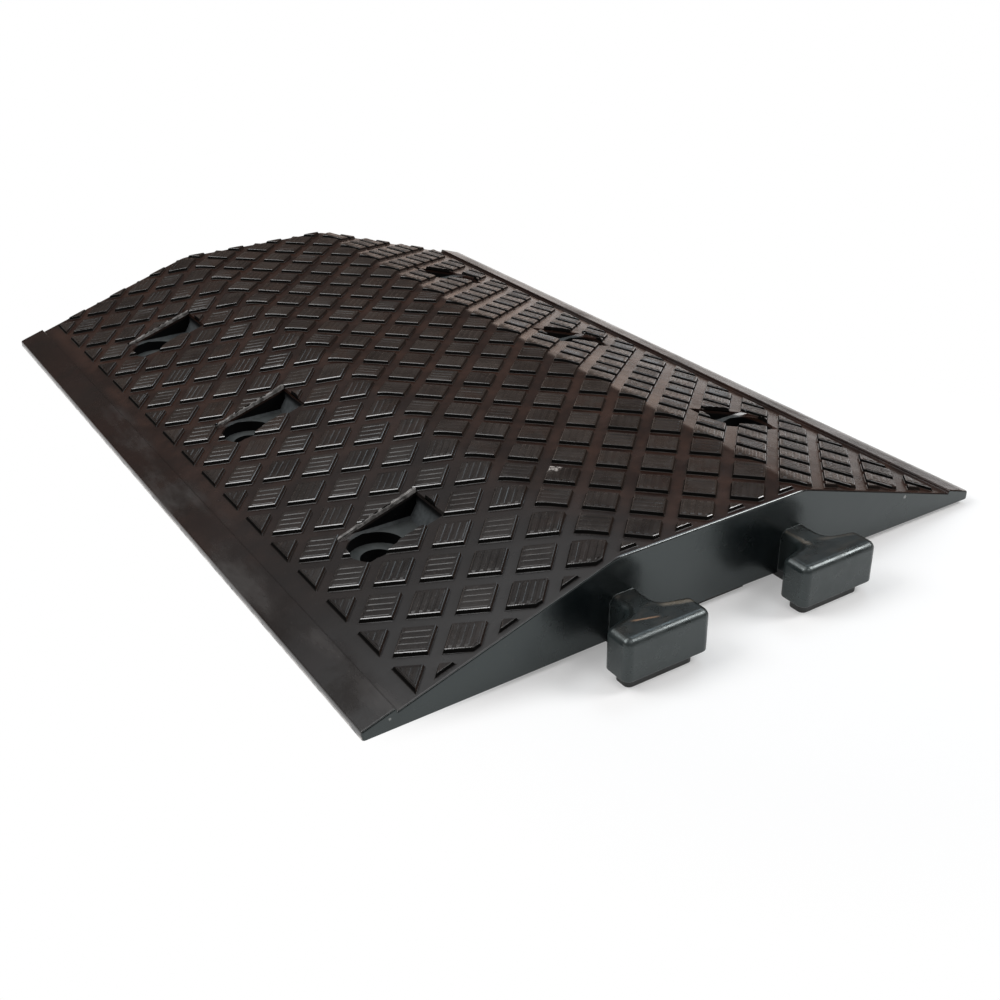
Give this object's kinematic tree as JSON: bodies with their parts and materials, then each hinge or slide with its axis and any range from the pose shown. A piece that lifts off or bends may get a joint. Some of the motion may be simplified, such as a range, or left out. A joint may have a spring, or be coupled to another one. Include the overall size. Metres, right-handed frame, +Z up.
{
  "type": "cable protector ramp",
  "caption": "Moulded rubber road ramp with a diamond tread, bolt pockets and cable channels underneath, joined end to end by loose dog-bone connector keys.",
  "frame": {"origin": "on the road, under the middle of the ramp body", "axes": "+X across the ramp to the right as seen from the end with the keys, +Y along the ramp away from that end, +Z up"},
  "size_m": [0.6, 0.923, 0.078],
  "materials": {
    "tread_rubber": "semi-gloss moulded",
    "key_rubber": "satin moulded",
    "sole_rubber": "matt"
  },
  "bodies": {
    "connector_keys": {"connector_key_left": "key_rubber", "connector_key_right": "key_rubber", "key_sole_left": "sole_rubber", "key_sole_right": "sole_rubber"},
    "ramp": {"ramp_body": "tread_rubber", "sole_outer_left": "sole_rubber", "sole_inner_left": "sole_rubber", "sole_middle": "sole_rubber", "sole_inner_right": "sole_rubber", "sole_outer_right": "sole_rubber"}
  },
  "joints": [
    {"name": "ramp_lift", "type": "slide", "parent": "connector_keys", "child": "ramp", "axis": [0, 0, 1], "range_m": [0, 0.05]}
  ]
}
